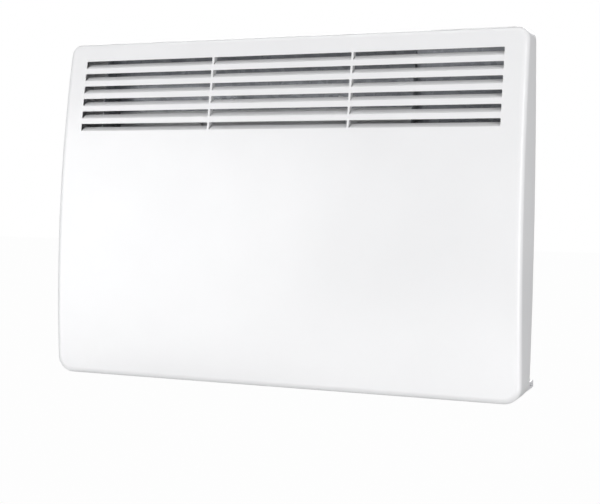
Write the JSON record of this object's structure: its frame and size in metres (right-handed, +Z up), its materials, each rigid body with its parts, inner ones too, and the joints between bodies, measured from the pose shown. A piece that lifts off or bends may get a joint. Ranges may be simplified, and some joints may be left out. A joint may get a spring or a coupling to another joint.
{
  "type": "electric panel heater",
  "caption": "Slim white wall-mounted electric panel convector with a bowed front, louvre grille near the top, recessed controls and a wall bracket.",
  "frame": {"origin": "centre of the four wall fixing holes, on the wall plane", "axes": "+Z up, +Y into the wall (the heater faces -Y), +X to the right seen from the front"},
  "size_m": [0.6464, 0.0939, 0.4508],
  "materials": {
    "painted_front": "satin white powder coat",
    "painted_rear": "satin white powder coat",
    "galvanised": "galvanised sheet",
    "element_aluminium": "dull extruded aluminium",
    "zinc_steel": "zinc plated",
    "ceramic": "ceramic",
    "brass_terminal": "bright brass",
    "white_plastic": "moulded white plastic",
    "grey_plastic": "moulded grey plastic",
    "black_plastic": "moulded black plastic",
    "lamp_red": "clear red lens",
    "wire_brown": "silicone insulation",
    "wire_blue": "silicone insulation",
    "copper": "bare copper capillary"
  },
  "bodies": {
    "heater": {"front_casing": "painted_front", "rear_panel": "painted_rear", "inlet_grille": "painted_rear", "grille_rib_left": "painted_front", "grille_rib_right": "painted_front", "left_baffle": "galvanised", "right_baffle": "galvanised", "air_deflector": "galvanised", "panel_screws": "zinc_steel", "baffle_screws": "zinc_steel", "deflector_screws": "zinc_steel", "cutout_screws": "zinc_steel", "block_screws": "zinc_steel", "element_fins": "element_aluminium", "element_rod": "zinc_steel", "element_bush_left": "ceramic", "element_bush_right": "ceramic", "element_seal": "ceramic", "element_terminals": "brass_terminal", "thermal_cutout": "ceramic", "bracket_strap_left": "painted_rear", "bracket_strap_right": "painted_rear", "bracket_upper_rail": "painted_rear", "bracket_lower_rail": "painted_rear", "bracket_rivets": "zinc_steel", "control_tray": "white_plastic", "thermostat_body": "black_plastic", "thermostat_nut": "zinc_steel", "switch_body": "black_plastic", "lamp_lens": "lamp_red", "lamp_body": "black_plastic", "cable_gland": "grey_plastic", "gland_nut": "grey_plastic", "terminal_block": "white_plastic", "terminal_screws": "brass_terminal", "live_lead": "wire_brown", "thermostat_lead": "wire_brown", "cutout_lead": "wire_brown", "neutral_lead": "wire_blue", "sensor_bulb": "copper", "sensor_capillary": "copper"},
    "thermostat_dial": {"thermostat_knob": "white_plastic", "thermostat_shaft": "zinc_steel"},
    "power_rocker": {"switch_rocker": "white_plastic"},
    "left_lock": {"lock_left": "grey_plastic", "lock_clip_left": "zinc_steel"},
    "right_lock": {"lock_right": "grey_plastic", "lock_clip_right": "zinc_steel"}
  },
  "joints": [
    {"name": "thermostat_turn", "type": "hinge", "parent": "heater", "child": "thermostat_dial", "pos_m": [0.276, -0.0295, 0.238], "axis": [0, 0, -1], "range_deg": [0, 270]},
    {"name": "power_rock", "type": "hinge", "parent": "heater", "child": "power_rocker", "pos_m": [0.224, -0.0295, 0.239], "axis": [0, 1, 0], "range_deg": [-18, 0]},
    {"name": "left_lock_turn", "type": "hinge", "parent": "heater", "child": "left_lock", "pos_m": [-0.12, -0.03403, -0.173], "axis": [0, 1, 0], "range_deg": [0, 90]},
    {"name": "right_lock_turn", "type": "hinge", "parent": "heater", "child": "right_lock", "pos_m": [0.12, -0.03403, -0.173], "axis": [0, -1, 0], "range_deg": [0, 90]}
  ]
}
